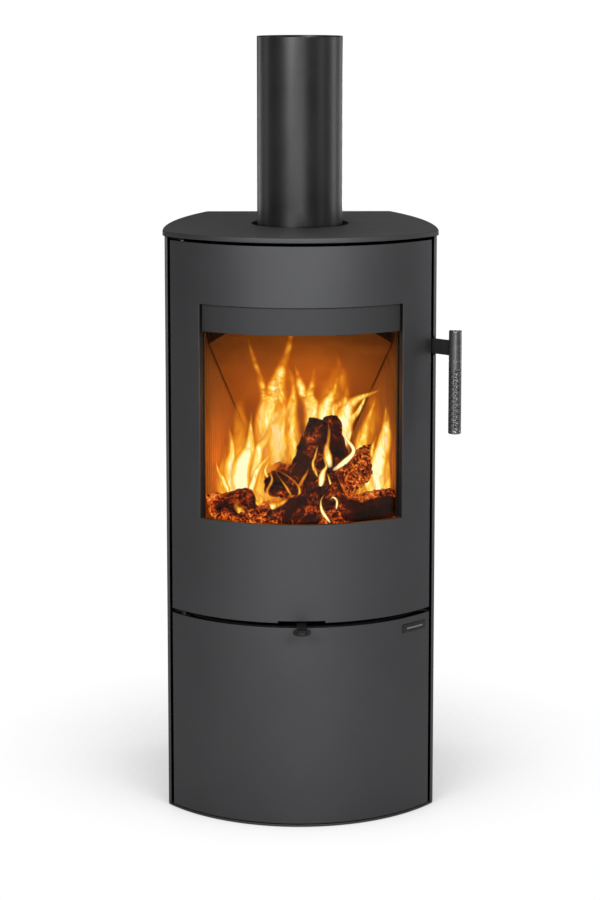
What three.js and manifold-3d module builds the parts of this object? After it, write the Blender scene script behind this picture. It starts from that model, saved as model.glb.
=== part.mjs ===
// Wood burning stove with a curved front, as an assembly of separate named sub-parts.
// Millimetres. X to the right, the front faces -Y, Z up. Origin on the floor under the middle of the top plate.
import * as THREE from "three";
import { mergeVertices } from "three/addons/utils/BufferGeometryUtils.js";
import Module from "manifold-3d";

const wasm = await Module();
wasm.setup();

// ---------------------------------------------------------------- driving dimensions
const GAP = 0.3; // assembly gap between parts that touch
const YC = 73.5; // centre of the front arc
const R_PLATE = 297; // top plate front radius
const R_SKIN = 294; // outer face of both door skins
const T_SKIN = 3;
const DOOR_HALF = 49.18; // degrees, half angle of the door skins
const WINDOW_HALF = 35.9; // degrees
const WINDOW_Z0 = 528;
const WINDOW_Z1 = 896.5;
const DOOR_Z0 = 358.5;
const DOOR_Z1 = 999.5;
const LOWER_Z0 = 6;
const LOWER_Z1 = 350.5;
const NOTCH_HALF = 40; // relief over the air lever in the main door's lower edge
const NOTCH_Z = 362;

const SIDE_CX = 441.75; // side arcs: centre (-+SIDE_CX, SIDE_CY)
const SIDE_CY = -71.3;
const R_SIDE_PLATE = 678;
const R_SIDE_OUT = 674.5;
const R_SIDE_IN = 669.5;
const SIDE_Y0 = -110.5;
const SIDE_Y1 = 215.7;
const PLATE_Z0 = 1005;
const PLATE_Z1 = 1013.5;
const PLATE_BACK = 223.5;
const PLATE_FILLET = 8;
const BACK_Y0 = 216;
const BACK_Y1 = 220;

const FLUE_Y = 23.5;
const FLUE_R = 75; // standard 150 mm flue
const FLUE_WALL = 2;
const FLUE_Z1 = 1340;
const PLATE_HOLE_R = 85.5;

const HINGE = [-201, -124]; // common vertical axis of both doors
const PIN_R = 4;
const BORE_R = 4.4;
const BLOCK_R = 8.5;
const LATCH = [218.5, -106]; // vertical axis of the handle shaft
const LATCH_R = 3.5;
const GRIP = [262, -142];
const GRIP_R = 11;
const GRIP_Z0 = 669;
const GRIP_Z1 = 847;
const ARM_Z0 = 803;
const ARM_Z1 = 829;
const ARM_T = 4;

const R_FRONT_IN = 254; // fixed front frame of the firebox
const R_FRONT_OUT = 258;
const SHELL_FRONT = [192, -92];
const SHELL_BACK = [150, 196];
const SHELL_T = 4;
const BRICK_T = 16;
const BRICK_FRONT_Y = -75;
const BRICK_BACK_Y = 187;
const BRICK_SLOPE = 63.5 / 230;
const brickX = (y) => 163 - BRICK_SLOPE * (y + 60);

// ---------------------------------------------------------------- helpers
const D2R = Math.PI / 180;

function toSolid(geometry) {
  const g = geometry.clone();
  for (const k of Object.keys(g.attributes)) if (k !== "position") g.deleteAttribute(k);
  const m = mergeVertices(g, 1e-3);
  return new wasm.Manifold(
    new wasm.Mesh({
      numProp: 3,
      vertProperties: new Float32Array(m.attributes.position.array),
      triVerts: new Uint32Array(m.index.array),
    }),
  );
}

function toGeometry(solid) {
  const m = solid.getMesh();
  const n = m.numProp;
  const v = new Float32Array((m.vertProperties.length / n) * 3);
  for (let i = 0; i < v.length / 3; i++) v.set(m.vertProperties.subarray(i * n, i * n + 3), i * 3);
  const g = new THREE.BufferGeometry();
  g.setAttribute("position", new THREE.BufferAttribute(v, 3));
  g.setIndex(new THREE.BufferAttribute(new Uint32Array(m.triVerts), 1));
  const flat = g.toNonIndexed();
  flat.computeVertexNormals();
  return flat;
}

// plan outline [[x, y], ...] raised from z0 to z1, with round holes [x, y, r]
function prism(points, z0, z1, holes = []) {
  const shape = new THREE.Shape(points.map(([x, y]) => new THREE.Vector2(x, y)));
  for (const [x, y, r, n = 32] of holes) {
    const h = [];
    for (let i = 0; i < n; i++)
      h.push(new THREE.Vector2(x + r * Math.cos((2 * Math.PI * i) / n), y + r * Math.sin((2 * Math.PI * i) / n)));
    shape.holes.push(new THREE.Path(h));
  }
  const g = new THREE.ExtrudeGeometry(shape, { depth: z1 - z0, bevelEnabled: false, steps: 1 });
  g.translate(0, 0, z0);
  return toSolid(g);
}

// all curved front parts share one faceting, so that surfaces of equal radius are flush
const STEP = 4;
function at(r, deg) {
  const k = Math.floor(deg / STEP) * STEP + STEP / 2;
  const rr = (r * Math.cos((STEP / 2) * D2R)) / Math.cos((deg - k) * D2R);
  return [rr * Math.sin(deg * D2R), YC - rr * Math.cos(deg * D2R)];
}
function grid(a0, a1) {
  const list = [a0];
  for (let k = Math.ceil(a0 / STEP) * STEP; k < a1; k += STEP) if (k > a0 + 0.3 && k < a1 - 0.3) list.push(k);
  list.push(a1);
  return list;
}

// part of a ring about the front arc's centre; angles from straight ahead, positive to the right
function sector(r0, r1, a0, a1, z0, z1) {
  const g = grid(a0, a1);
  return prism([...g.map((a) => at(r1, a)), ...g.reverse().map((a) => at(r0, a))], z0, z1);
}

// curved picture frame: an outer sector with a smaller one taken out
function curvedFrame(r0, r1, outer, inner) {
  return sector(r0, r1, outer[0], outer[1], outer[2], outer[3]).subtract(
    sector(r0 - 3, r1 + 3, inner[0], inner[1], inner[2], inner[3]),
  );
}

function box(x0, x1, y0, y1, z0, z1) {
  const g = new THREE.BoxGeometry(x1 - x0, y1 - y0, z1 - z0);
  g.translate((x0 + x1) / 2, (y0 + y1) / 2, (z0 + z1) / 2);
  return toSolid(g);
}

function rod(x, y, z0, z1, r, n = 20) {
  const g = new THREE.CylinderGeometry(r, r, z1 - z0, n);
  g.rotateX(Math.PI / 2);
  g.translate(x, y, (z0 + z1) / 2);
  return toSolid(g);
}

function rodY(x, z, y0, y1, r, n = 28) {
  const g = new THREE.CylinderGeometry(r, r, y1 - y0, n);
  g.translate(x, (y0 + y1) / 2, z);
  return toSolid(g);
}

const sideX = (r, y) => -SIDE_CX + Math.sqrt(r * r - (y - SIDE_CY) ** 2);

// points of a side arc from y0 to y1
function sideArc(r, y0, y1, s, n = 10) {
  const p = [];
  for (let i = 0; i <= n; i++) {
    const y = y0 + ((y1 - y0) * i) / n;
    p.push([s * sideX(r, y), y]);
  }
  return p;
}

const lerp = (a, b, t) => [a[0] + (b[0] - a[0]) * t, a[1] + (b[1] - a[1]) * t];

// full plan: front arc, corner fillets, side arcs, straight back
function planOutline(rFront, rSide, yBack, fillet) {
  let yc = -130;
  for (let i = 0; i < 60; i++) {
    const x = sideX(rSide, yc);
    yc = YC - Math.sqrt(rFront * rFront - x * x);
  }
  const corner = [sideX(rSide, yc), yc];
  const a = Math.atan2(corner[0], YC - corner[1]) / D2R;
  const da = (fillet / rFront) / D2R;
  const right = [];
  const pFront = at(rFront, a - da);
  const pSide = [sideX(rSide, yc + fillet), yc + fillet];
  for (let i = 0; i <= 4; i++) {
    const t = i / 4;
    right.push(lerp(lerp(pFront, corner, t), lerp(corner, pSide, t), t));
  }
  for (const p of sideArc(rSide, yc + fillet, yBack, 1, 10).slice(1)) right.push(p);
  const front = [];
  for (const k of grid(-(a - da), a - da)) front.push(at(rFront, k));
  return [...front, ...right.slice(1), ...right.slice(1).reverse().map(([x, y]) => [-x, y])];
}

const group = new THREE.Group();
const names = {};

function add(name, solid, colour, roughness, metalness) {
  const mesh = new THREE.Mesh(
    toGeometry(solid),
    new THREE.MeshStandardMaterial({ color: colour, roughness, metalness }),
  );
  mesh.name = name;
  names[name] = mesh;
  group.add(mesh);
}

const PAINT = [0x4c4d4e, 0.55, 0.3];
const DARK = [0x2a2a2b, 0.7, 0.3];
const BRICK = [0xb9a78c, 0.95, 0];
const STEEL = [0x8b8d90, 0.35, 0.9];

// ---------------------------------------------------------------- outer shell
add("base_plate", prism(planOutline(293, R_SIDE_OUT, BACK_Y1, 6), 0, 4), ...PAINT);

function sidePanel(s) {
  const outer = sideArc(R_SIDE_OUT, SIDE_Y0, SIDE_Y1, s);
  const inner = sideArc(R_SIDE_IN, SIDE_Y0, SIDE_Y1, s).reverse();
  return prism([...outer, ...inner], 4 + GAP, PLATE_Z0 - GAP);
}
add("side_panel_left", sidePanel(-1), ...PAINT);
// the right panel's front edge is relieved where the handle arm passes
add(
  "side_panel_right",
  sidePanel(1).subtract(box(220, 240, SIDE_Y0 - 5, SIDE_Y0 + 10.5, ARM_Z0 - 3, ARM_Z1 + 3)),
  ...PAINT,
);
const DUCT_Z = 372;
const DUCT_R = 25;
add(
  "back_panel",
  box(-170, 170, BACK_Y0, BACK_Y1, 4 + GAP, PLATE_Z0 - GAP).subtract(
    rodY(0, DUCT_Z, BACK_Y0 - 5, BACK_Y1 + 5, DUCT_R + GAP),
  ),
  ...PAINT,
);
add(
  "top_plate",
  prism(planOutline(R_PLATE, R_SIDE_PLATE, PLATE_BACK, PLATE_FILLET), PLATE_Z0, PLATE_Z1, [
    [0, FLUE_Y, PLATE_HOLE_R, 36],
  ]),
  ...PAINT,
);

// ---------------------------------------------------------------- flue
const ring = (r0, r1, z0, z1, n = 32) =>
  rod(0, FLUE_Y, z0, z1, r1, n).subtract(rod(0, FLUE_Y, z0 - 1, z1 + 1, r0, n));
const SHELL_TOP = 962;
add("flue_pipe", ring(FLUE_R - FLUE_WALL, FLUE_R, SHELL_TOP + GAP, FLUE_Z1), ...PAINT);
add("flue_collar", ring(FLUE_R + 0.8, FLUE_R + 4, SHELL_TOP + GAP, 1000), ...DARK);

// ---------------------------------------------------------------- firebox shell
const shellPlan = (inset) => {
  const p = [];
  const [fx, fy] = SHELL_FRONT;
  const half = Math.asin((fx - inset) / (R_FRONT_IN - 0.5)) / D2R;
  for (const a of grid(-half, half)) p.push(at(R_FRONT_IN - 0.5, a));
  p.push([SHELL_BACK[0] - inset, SHELL_BACK[1] - inset], [-(SHELL_BACK[0] - inset), SHELL_BACK[1] - inset]);
  return p;
};
const ASH_Z0 = 400;
const ASH_Z1 = 403;
const SIDE_BOTTOM = ASH_Z1 + GAP;
const SIDE_TOP = SHELL_TOP - 4 - GAP;
add("firebox_top", prism(shellPlan(0), SHELL_TOP - 4, SHELL_TOP, [[0, FLUE_Y, FLUE_R - 3, 28]]), ...DARK);
const shellSide = (s) =>
  prism(
    [
      [s * SHELL_FRONT[0], SHELL_FRONT[1]],
      [s * SHELL_BACK[0], SHELL_BACK[1]],
      [s * (SHELL_BACK[0] - SHELL_T), SHELL_BACK[1]],
      [s * (SHELL_FRONT[0] - SHELL_T), SHELL_FRONT[1]],
    ],
    SIDE_BOTTOM,
    SIDE_TOP,
  );
add("firebox_side_left", shellSide(-1), ...DARK);
add("firebox_side_right", shellSide(1), ...DARK);
add(
  "firebox_back",
  box(-(SHELL_BACK[0] - SHELL_T - 0.4), SHELL_BACK[0] - SHELL_T - 0.4, SHELL_BACK[1] - 4, SHELL_BACK[1], SIDE_BOTTOM, SIDE_TOP),
  ...DARK,
);
const FLOOR_Z0 = 486;
const FLOOR_Z1 = 490;
{
  const p = [];
  const x0 = SHELL_FRONT[0] - SHELL_T - 0.6;
  const half = Math.asin(x0 / (R_FRONT_IN - 0.5)) / D2R;
  for (const a of grid(-half, half)) p.push(at(R_FRONT_IN - 0.5, a));
  p.push([SHELL_BACK[0] - SHELL_T - 0.2, SHELL_BACK[1] - 4.5], [-(SHELL_BACK[0] - SHELL_T - 0.2), SHELL_BACK[1] - 4.5]);
  add(
    "firebox_floor",
    prism(p, FLOOR_Z0, FLOOR_Z1).subtract(box(-50, 50, -50, 50, FLOOR_Z0 - 2, FLOOR_Z1 + 2)),
    ...DARK,
  );
}
add("ash_floor", prism(shellPlan(0), ASH_Z0, ASH_Z1).subtract(box(-60, 60, -100, -60, 395, 410)), ...DARK);
const ASH_HALF = 25.45;
const FIRE_HALF = 40;
add(
  "firebox_front_frame",
  sector(R_FRONT_IN, R_FRONT_OUT, -53, 53, 385, 975)
    .subtract(sector(R_FRONT_IN - 3, R_FRONT_OUT + 3, -FIRE_HALF, FIRE_HALF, 510, 930))
    .subtract(sector(R_FRONT_IN - 3, R_FRONT_OUT + 3, -ASH_HALF, ASH_HALF, 403.4, 476)),
  ...DARK,
);

// ---------------------------------------------------------------- carcass under the firebox
{
  const arc = [];
  const half = 53;
  for (const a of grid(-half, half)) arc.push(at(257, a));
  const right = sideArc(R_SIDE_IN - 0.6, -80, BACK_Y0 - 0.5, 1, 10);
  add(
    "mid_shelf",
    prism([...arc, ...right, ...right.slice().reverse().map(([x, y]) => [-x, y])], 340, 343),
    ...DARK,
  );
}
add("support_left", box(-133, -130, -110, 170, 343 + GAP, ASH_Z0 - GAP), ...DARK);
add("support_right", box(130, 133, -110, 170, 343 + GAP, ASH_Z0 - GAP), ...DARK);
// air box: open upwards, a port in its floor under which the slide runs, rails that carry the slide
add(
  "primary_air_box",
  box(-100, 100, -150, 0, 358, ASH_Z0 - GAP)
    .subtract(box(-98, 98, -148, -2, 360, 410))
    .subtract(box(-55, 55, -110, -65, 350, 365))
    .subtract(rodY(0, DUCT_Z, -5, 5, 12, 20))
    .add(box(-100, 100, -130, -126.5, 350, 358.5))
    .add(box(-100, 100, -130, -121, 349, 351.4))
    .add(box(-100, 100, -43.5, -40, 350, 358.5))
    .add(box(-100, 100, -49, -40, 349, 351.4))
    .subtract(box(-41, 41, -135, -120, 351.5, 357.4)),
  ...DARK,
);
add(
  "air_duct",
  rodY(0, DUCT_Z, GAP, PLATE_BACK, DUCT_R).subtract(rodY(0, DUCT_Z, GAP - 1, PLATE_BACK + 1, DUCT_R - 3)),
  ...DARK,
);

// ---------------------------------------------------------------- fire lining
function sideBrick(s) {
  const pts = [];
  const n = 9;
  const y0 = BRICK_FRONT_Y;
  const y1 = BRICK_BACK_Y;
  const pitch = (y1 - y0 - 10) / n;
  pts.push([s * brickX(y0), y0]);
  for (let i = 0; i < n; i++) {
    const a = y0 + 10 + pitch * i;
    pts.push([s * brickX(a), a]);
    pts.push([s * (brickX(a + 3) + 4), a + 3]);
    pts.push([s * (brickX(a + 7) + 4), a + 7]);
    pts.push([s * brickX(a + 10), a + 10]);
  }
  pts.push([s * brickX(y1), y1]);
  pts.push([s * (brickX(y1) + BRICK_T), y1]);
  pts.push([s * (brickX(y0) + BRICK_T), y0]);
  return prism(pts, FLOOR_Z1 + GAP, 905);
}
add("brick_left", sideBrick(-1), ...BRICK);
add("brick_right", sideBrick(1), ...BRICK);
add("brick_back", box(-94, 94, 171, 187, FLOOR_Z1 + GAP, 606), ...BRICK);
{
  const w0 = brickX(BRICK_FRONT_Y) - 0.5;
  const w1 = brickX(170) - 0.5;
  add(
    "brick_floor",
    prism(
      [
        [-w0, BRICK_FRONT_Y],
        [w0, BRICK_FRONT_Y],
        [w1, 170],
        [-w1, 170],
      ],
      FLOOR_Z1 + GAP,
      505,
    ).subtract(box(-65.5, 65.5, -65.5, 65.5, 480, 510)),
    ...BRICK,
  );
}
{
  let grate = box(-65, 65, -65, 65, FLOOR_Z1 + GAP, 500);
  for (let i = 0; i < 7; i++) {
    const x = -48 + 16 * i;
    grate = grate.subtract(box(x - 4, x + 4, -46, 46, 480, 510));
  }
  add("grate", grate, 0x3a3a3a, 0.8, 0.5);
}
// inclined baffle from the back wall up towards the front, front corners cut off
{
  const y0 = 170;
  const z0 = 608;
  const y1 = -88;
  const z1 = 839.1;
  const len = Math.hypot(y1 - y0, z1 - z0);
  const t = 20;
  const cutX = 46.5;
  const cutS = 41.6;
  const w = (s) => brickX(y0 + ((y1 - y0) * s) / len) - 4.2;
  const g = new THREE.ExtrudeGeometry(
    new THREE.Shape(
      [
        [-w(0), 0],
        [w(0), 0],
        [w(len - cutS), len - cutS],
        [w(len) - cutX, len],
        [-(w(len) - cutX), len],
        [-w(len - cutS), len - cutS],
      ].map(([x, y]) => new THREE.Vector2(x, y)),
    ),
    { depth: t, bevelEnabled: false, steps: 1 },
  );
  g.translate(0, 0, -t);
  const dir = new THREE.Vector3(0, (y1 - y0) / len, (z1 - z0) / len);
  const ex = new THREE.Vector3(1, 0, 0);
  const nz = new THREE.Vector3().crossVectors(ex, dir);
  g.applyMatrix4(new THREE.Matrix4().makeBasis(ex, dir, nz));
  g.translate(0, y0, z0);
  add("baffle", toSolid(g), ...BRICK);
}

// ---------------------------------------------------------------- hinge hardware
function hingeBracket(z0, z1) {
  return prism(
    [
      [HINGE[0] - 7, HINGE[1]],
      [HINGE[0] - 4, HINGE[1] - 7],
      [HINGE[0] + 4, HINGE[1] - 7],
      [HINGE[0] + 8, HINGE[1]],
      [-192, -62],
      [-226.4, -62],
      [-226.4, -98],
    ],
    z0,
    z1,
    [[HINGE[0], HINGE[1], PIN_R + GAP, 20]],
  );
}
add("hinge_bracket_top", hingeBracket(1000.9, PLATE_Z0 - GAP), ...DARK);
add("hinge_bracket_middle", hingeBracket(352.5, 356.5), ...DARK);
add("hinge_pin_top", rod(...HINGE, 978, 1004.6, PIN_R), ...STEEL);
add("hinge_pin_middle", rod(...HINGE, 336, 373, PIN_R), ...STEEL);
add("hinge_pin_bottom", rod(...HINGE, 4 + GAP, 22, PIN_R), ...STEEL);

function hingeBlock(z0, z1) {
  return sector(277, 290.3, -45.5, -43.27, z0, z1)
    .add(rod(...HINGE, z0, z1, BLOCK_R, 28))
    .subtract(rod(...HINGE, z0 - 1, z1 + 1, BORE_R, 20));
}

// ---------------------------------------------------------------- main door
add(
  "door_skin",
  sector(R_SKIN - T_SKIN, R_SKIN, -DOOR_HALF, DOOR_HALF, DOOR_Z0, DOOR_Z1)
    .subtract(sector(R_SKIN - T_SKIN - 3, R_SKIN + 3, -WINDOW_HALF, WINDOW_HALF, WINDOW_Z0, WINDOW_Z1))
    .subtract(box(-NOTCH_HALF, NOTCH_HALF, -240, -200, DOOR_Z0 - 2, NOTCH_Z)),
  ...PAINT,
);
add(
  "door_frame",
  sector(283, 290.6, -43.2, 46.5, 364, 992).subtract(
    sector(279, 296, -(WINDOW_HALF + 0.05), WINDOW_HALF + 0.05, WINDOW_Z0 - 0.5, 911),
  ),
  ...DARK,
);
// channel that holds the rope seal, behind the edge of the door frame
add(
  "seal_channel",
  curvedFrame(268, 282.7, [-44.5, 44.5, 390, 948], [-41, 41, 404, 934]),
  ...DARK,
);
add("door_glass", sector(277, 281, -40, 40, 508, 920), 0x1c1a18, 0.05, 0);
add("glass_gasket", curvedFrame(281.3, 282.7, [-39.8, 39.8, 509, 919], [-36.4, 36.4, 525, 913]), 0x1a1a1a, 0.95, 0);
add(
  "glass_retainer_top",
  sector(272.5, 276.6, -36, 36, 908, 932).add(sector(276, 282.6, -36, 36, 922, 932)),
  ...DARK,
);
add(
  "glass_retainer_bottom",
  sector(272.5, 276.6, -36, 36, 494, 520).add(sector(276, 282.6, -36, 36, 494, 506)),
  ...DARK,
);
add("visor_band", sector(284, 286.5, -35.75, 35.75, 849, 910.6), ...PAINT);
add(
  "door_rope_seal",
  curvedFrame(R_FRONT_OUT + 0.4, 267.6, [-44, 44, 393, 945], [-41.5, 41.5, 401, 937]),
  0x3a3835,
  0.98,
  0,
);
add("main_hinge_block_top", hingeBlock(976, 998), ...DARK);
add("main_hinge_block_bottom", hingeBlock(359.5, 376), ...DARK);
{
  const quad = (z0, z1) =>
    prism([at(279, 46.6), at(290.2, 46.6), at(288.6, 50.2), at(277, 50.2)], z0, z1).add(
      rod(...LATCH, z0, z1, 6, 20),
    );
  add(
    "latch_bracket",
    quad(785, 789)
      .add(quad(843, 847))
      .add(sector(279, 290.2, 46.6, 47.4, 785, 847))
      .subtract(rod(...LATCH, 780, 850, LATCH_R + 0.4, 20)),
    ...DARK,
  );
}

// ---------------------------------------------------------------- handle
const armDir = Math.atan2(GRIP[1] - LATCH[1], GRIP[0] - LATCH[0]);
function alongFrom(p, ang, t, w0, w1, z0, z1) {
  const c = Math.cos(ang);
  const s = Math.sin(ang);
  const q = (u, v) => [p[0] + u * c - v * s, p[1] + u * s + v * c];
  return prism([q(w0, -t / 2), q(w1, -t / 2), q(w1, t / 2), q(w0, t / 2)], z0, z1);
}
const TONGUE = (135 * Math.PI) / 180;
add(
  "latch_shaft",
  rod(...LATCH, 780, 852, LATCH_R, 18).add(alongFrom(LATCH, TONGUE, 6, 0, 16, 790, 801)),
  ...STEEL,
);
const reach = Math.hypot(GRIP[0] - LATCH[0], GRIP[1] - LATCH[1]);
add(
  "handle_arm",
  alongFrom(LATCH, armDir, ARM_T, 0, reach - GRIP_R + 4, ARM_Z0, ARM_Z1)
    .add(rod(...LATCH, ARM_Z0, ARM_Z1, 6.2, 20))
    .subtract(rod(...LATCH, ARM_Z0 - 5, ARM_Z1 + 5, LATCH_R + GAP, 18)),
  ...DARK,
);
{
  // turned grip: smooth head with a fine ring, then a row of grooves down to the lower end
  const pts = [
    [0, GRIP_Z0],
    [GRIP_R - 1.5, GRIP_Z0],
    [GRIP_R, GRIP_Z0 + 1.5],
  ];
  const pitch = 10.5;
  for (let i = 0; i < 10; i++) {
    const z = GRIP_Z0 + 6 + pitch * i;
    pts.push([GRIP_R, z], [GRIP_R - 1.4, z + 2], [GRIP_R, z + 4]);
  }
  pts.push([GRIP_R, GRIP_Z1 - 1.5], [GRIP_R - 1.5, GRIP_Z1], [0, GRIP_Z1]);
  const g = new THREE.LatheGeometry(
    pts.map(([x, y]) => new THREE.Vector2(x, y)),
    18,
  );
  g.rotateX(Math.PI / 2);
  g.translate(GRIP[0], GRIP[1], 0);
  let grip = toSolid(g);
  if (grip.volume() < 0) throw new Error("grip profile runs the wrong way");
  // slot for the arm
  grip = grip.subtract(
    alongFrom(LATCH, armDir, ARM_T + 2 * GAP, 10, reach - GRIP_R + 4 + GAP, ARM_Z0 - GAP, ARM_Z1 + GAP),
  );
  add("handle_grip", grip, 0x77797b, 0.3, 0.9);
}

// ---------------------------------------------------------------- fixed latch and catch parts
add(
  "latch_keeper",
  sector(R_FRONT_OUT + GAP, 263.5, 44.9, 47.7, 787, 804).add(rod(...at(266.5, 46.3), 785, 806, 4, 20)),
  ...STEEL,
);
add("catch_bracket", sector(263, 267, 46.55, 58.3, 172, 188), ...DARK);
add("magnet_catch", sector(262, 275.5, 43, 46.4, 168, 192), 0x202020, 0.8, 0.1);

// ---------------------------------------------------------------- lower door
add(
  "lower_door_skin",
  sector(R_SKIN - T_SKIN, R_SKIN, -DOOR_HALF, DOOR_HALF, LOWER_Z0, LOWER_Z1),
  ...PAINT,
);
add("lower_door_frame", curvedFrame(279, 290.6, [-43.2, 46.5, 12, 346], [-38, 41, 34, 324]), ...DARK);
add("lower_hinge_block_top", hingeBlock(333, 349.5), ...DARK);
add("lower_hinge_block_bottom", hingeBlock(7.5, 24), ...DARK);
add("strike_plate", sector(276, 278.7, 42.5, 45.5, 165, 195), ...STEEL);
add("badge_plate", sector(R_SKIN + 0.25, R_SKIN + 1.4, 36.3, 47, 324, 339), 0x9a9c9e, 0.35, 0.9);

// ---------------------------------------------------------------- air control
const KNOB_Y = -260;
add(
  "air_slide",
  box(-68, 68, -125.5, -44.5, 352, 356.5).add(box(-8.5, 8.5, KNOB_Y + 4.3, -120, 352.6, 356.2)),
  ...DARK,
);
add(
  "air_knob",
  rod(0, KNOB_Y, 351.5, 357.5, 15, 32).subtract(box(-8.8, 8.8, KNOB_Y + 4, KNOB_Y + 20, 352.3, 356.5)),
  0x2c2c2d,
  0.4,
  0.6,
);

// ---------------------------------------------------------------- ash pan
add(
  "ash_pan",
  box(-105, 105, -140, 120, ASH_Z1 + 1.6, 470)
    .subtract(box(-103, 103, -138, 118, ASH_Z1 + 3.6, 475))
    .add(box(-20, 20, -147, -139.5, 444, 449)),
  ...DARK,
);

export default group;
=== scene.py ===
import bpy, bmesh, math, random
from mathutils import Vector, Matrix, noise


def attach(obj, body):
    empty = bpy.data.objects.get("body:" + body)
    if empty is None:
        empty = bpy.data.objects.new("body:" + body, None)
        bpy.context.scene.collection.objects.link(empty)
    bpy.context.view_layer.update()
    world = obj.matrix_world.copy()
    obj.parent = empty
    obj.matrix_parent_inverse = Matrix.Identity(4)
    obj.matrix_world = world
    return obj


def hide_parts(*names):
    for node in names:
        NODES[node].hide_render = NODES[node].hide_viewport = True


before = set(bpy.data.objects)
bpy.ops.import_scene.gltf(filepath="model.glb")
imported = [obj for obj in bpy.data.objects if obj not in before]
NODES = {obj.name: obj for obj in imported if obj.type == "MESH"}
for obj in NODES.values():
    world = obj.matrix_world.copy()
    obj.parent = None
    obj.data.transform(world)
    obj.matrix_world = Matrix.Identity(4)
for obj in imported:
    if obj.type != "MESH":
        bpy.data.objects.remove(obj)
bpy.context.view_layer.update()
scene = bpy.context.scene
rng = random.Random(11)

YC = 0.0735  # centre of the front arc
D2R = math.pi / 180
SIDE_CX, SIDE_CY = 0.44175, -0.0713
HINGE = (-0.201, -0.124)
LATCH = (0.2185, -0.106)
GRIP = (0.262, -0.142)


def at(r, deg):
    return (r * math.sin(deg * D2R), YC - r * math.cos(deg * D2R))


def side_x(r, y):
    return -SIDE_CX + math.sqrt(r * r - (y - SIDE_CY) ** 2)


def spread(a, b, step, extra=()):
    n = max(1, math.ceil((b - a) / step))
    vals = [a + (b - a) * i / n for i in range(n + 1)]
    for e in extra:
        k = min(range(len(vals)), key=lambda i: abs(vals[i] - e))
        if 0 < k < len(vals) - 1 and abs(vals[k] - e) < step * 0.5:
            vals[k] = e
        else:
            vals.append(e)
    return sorted(set(vals))


# ------------------------------------------------------------------ materials
def new_mat(name):
    m = bpy.data.materials.new(name)
    m.use_nodes = True
    nt = m.node_tree
    nt.nodes.clear()
    return m, nt, nt.nodes.new("ShaderNodeOutputMaterial")


def node(nt, kind, **values):
    n = nt.nodes.new("ShaderNode" + kind)
    for k, v in values.items():
        if hasattr(n, k) and k not in n.inputs:
            setattr(n, k, v)
        else:
            n.inputs[k.replace("_", " ")].default_value = v
    return n


def link(nt, a, b):
    nt.links.new(a, b)


def ramp(nt, source, stops):
    r = nt.nodes.new("ShaderNodeValToRGB")
    el = r.color_ramp.elements
    while len(el) < len(stops):
        el.new(0.5)
    for e, (p, c) in zip(el, stops):
        e.position = p
        e.color = (*c, 1) if len(c) == 3 else c
    link(nt, source, r.inputs["Fac"])
    return r


def mathn(nt, op, a, b=None, clamp=False):
    n = nt.nodes.new("ShaderNodeMath")
    n.operation = op
    n.use_clamp = clamp
    for i, v in enumerate((a, b)):
        if v is None:
            continue
        if isinstance(v, (int, float)):
            n.inputs[i].default_value = v
        else:
            link(nt, v, n.inputs[i])
    return n.outputs[0]


def noise_tex(nt, coord, scale, detail=3.0, rough=0.5, distortion=0.0, stretch=None):
    vec = coord
    if stretch:
        mp = nt.nodes.new("ShaderNodeMapping")
        mp.inputs["Scale"].default_value = stretch
        link(nt, coord, mp.inputs["Vector"])
        vec = mp.outputs[0]
    n = nt.nodes.new("ShaderNodeTexNoise")
    n.inputs["Scale"].default_value = scale
    n.inputs["Detail"].default_value = detail
    n.inputs["Roughness"].default_value = rough
    n.inputs["Distortion"].default_value = distortion
    link(nt, vec, n.inputs["Vector"])
    return n.outputs["Fac"]


def surface(name, dark, light, rough=(0.45, 0.6), metallic=0.0, fine=700.0, bump=0.08, bump_mm=0.15,
            tone=7.0, specular=0.5, stretch=None, coat=0.0, extra=None):
    """Paint, brick, cast metal and so on: two tones broken up by noise, fine bump and uneven roughness."""
    m, nt, out = new_mat(name)
    co = nt.nodes.new("ShaderNodeTexCoord").outputs["Object"]
    p = nt.nodes.new("ShaderNodeBsdfPrincipled")
    broad = noise_tex(nt, co, tone, 4.0, 0.6, stretch=stretch)
    speck = noise_tex(nt, co, fine * 0.35, 2.0, 0.6, stretch=stretch)
    grain = noise_tex(nt, co, fine, 2.0, 0.5, stretch=stretch)
    mix = mathn(nt, "ADD", mathn(nt, "MULTIPLY", broad, 0.65), mathn(nt, "MULTIPLY", speck, 0.35))
    col = ramp(nt, mix, [(0.32, dark), (0.68, light)])
    link(nt, col.outputs["Color"], p.inputs["Base Color"])
    rr = ramp(nt, mathn(nt, "ADD", mathn(nt, "MULTIPLY", broad, 0.5), mathn(nt, "MULTIPLY", grain, 0.5)),
              [(0.35, (rough[0],) * 3), (0.65, (rough[1],) * 3)])
    link(nt, rr.outputs["Color"], p.inputs["Roughness"])
    p.inputs["Metallic"].default_value = metallic
    p.inputs["Specular IOR Level"].default_value = specular
    if coat:
        p.inputs["Coat Weight"].default_value = coat
        p.inputs["Coat Roughness"].default_value = 0.25
    b = nt.nodes.new("ShaderNodeBump")
    b.inputs["Strength"].default_value = bump
    b.inputs["Distance"].default_value = bump_mm * 0.001
    link(nt, mathn(nt, "ADD", grain, mathn(nt, "MULTIPLY", speck, 0.8)), b.inputs["Height"])
    link(nt, b.outputs["Normal"], p.inputs["Normal"])
    if extra:
        extra(nt, co, p, col, b)
    link(nt, p.outputs[0], out.inputs["Surface"])
    return m


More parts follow.
